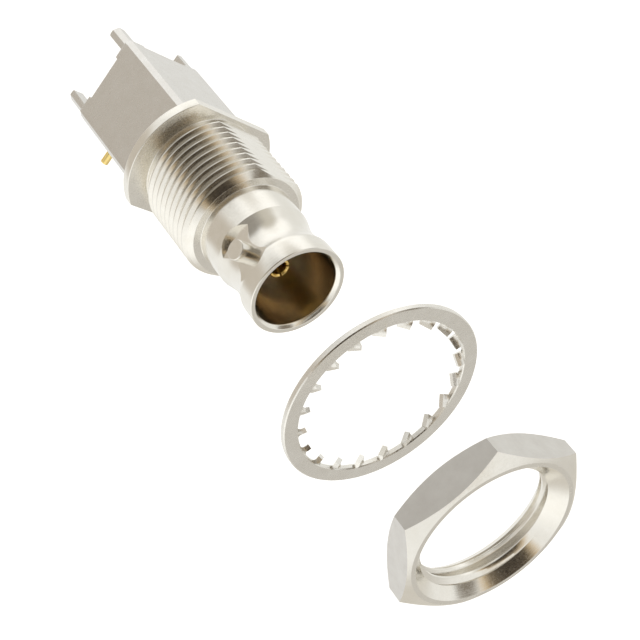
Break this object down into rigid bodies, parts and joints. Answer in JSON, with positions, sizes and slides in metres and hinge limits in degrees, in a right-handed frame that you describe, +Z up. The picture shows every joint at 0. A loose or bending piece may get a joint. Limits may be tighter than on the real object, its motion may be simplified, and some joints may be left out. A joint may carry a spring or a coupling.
{
  "type": "bulkhead coaxial jack",
  "caption": "Bulkhead coaxial jack for a circuit board: bayonet barrel with panel thread and flange, square cast housing with rear legs and a solder tail, with lock washer and hexagon nut.",
  "frame": {"origin": "on the mating axis, in the plane of the flange's front face, where the panel seats", "axes": "+Y along the mating axis towards the rear legs, so the mouth opens towards -Y; +Z up, away from the solder tail and through the thread's flat; +X across the two bayonet studs"},
  "size_m": [0.0192, 0.0692, 0.0192],
  "materials": {
    "polished_nickel": "polished nickel plate on brass",
    "satin_nickel": "satin nickel plate on a zinc casting",
    "insulator": "matte",
    "gold_contact": "gold plate",
    "washer_steel": "satin nickel plate on spring steel"
  },
  "bodies": {
    "jack": {"front_shell": "polished_nickel", "square_housing": "satin_nickel", "front_insulator": "insulator", "rear_insulator": "insulator", "centre_contact": "gold_contact", "solder_tail": "gold_contact", "tail_bush": "insulator", "rear_cap": "satin_nickel"},
    "washer": {"lock_washer": "washer_steel"},
    "nut": {"hex_nut": "polished_nickel"}
  },
  "joints": [
    {"name": "washer_slide", "type": "slide", "parent": "jack", "child": "washer", "axis": [0, 1, 0], "range_m": [0, 0.03405]},
    {"name": "nut_travel", "type": "slide", "parent": "washer", "child": "nut", "axis": [0, 1, 0], "range_m": [0, 0.0133]}
  ]
}
